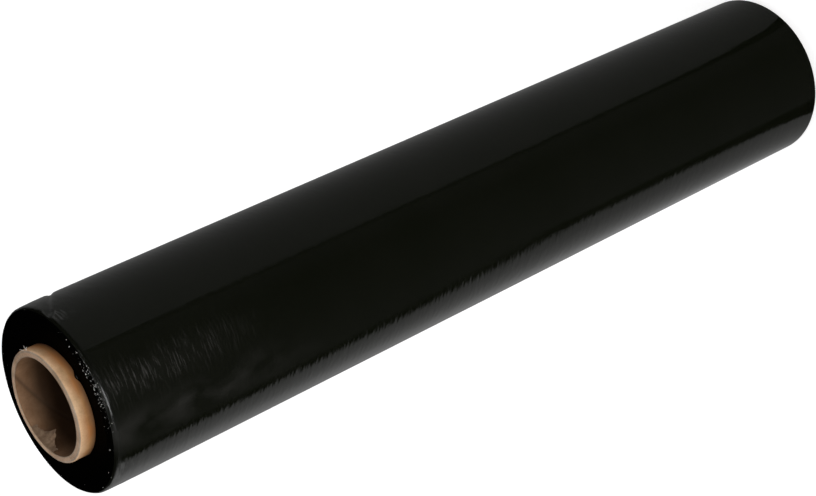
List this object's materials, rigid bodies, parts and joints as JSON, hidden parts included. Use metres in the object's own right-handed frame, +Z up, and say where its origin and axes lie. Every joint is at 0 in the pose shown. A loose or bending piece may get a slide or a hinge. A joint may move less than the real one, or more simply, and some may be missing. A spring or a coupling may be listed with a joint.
{
  "type": "stretch wrap roll",
  "caption": "Roll of glossy black stretch film wound on a paperboard tube whose ends stand out of the film; stands on end, with a through bore for a dispenser.",
  "frame": {"origin": "centre of the tube's lower end ring, on the surface that the roll stands on", "axes": "+Z up the roll's axis; the roll is round, so +X and +Y are any two square directions"},
  "size_m": [0.095, 0.095, 0.512],
  "materials": {
    "core_board": "matte, spiral wound, mottled",
    "stretch_film": "glossy clinging film"
  },
  "bodies": {
    "root": {"core_tube": "core_board", "film_roll": "stretch_film"}
  },
  "joints": []
}
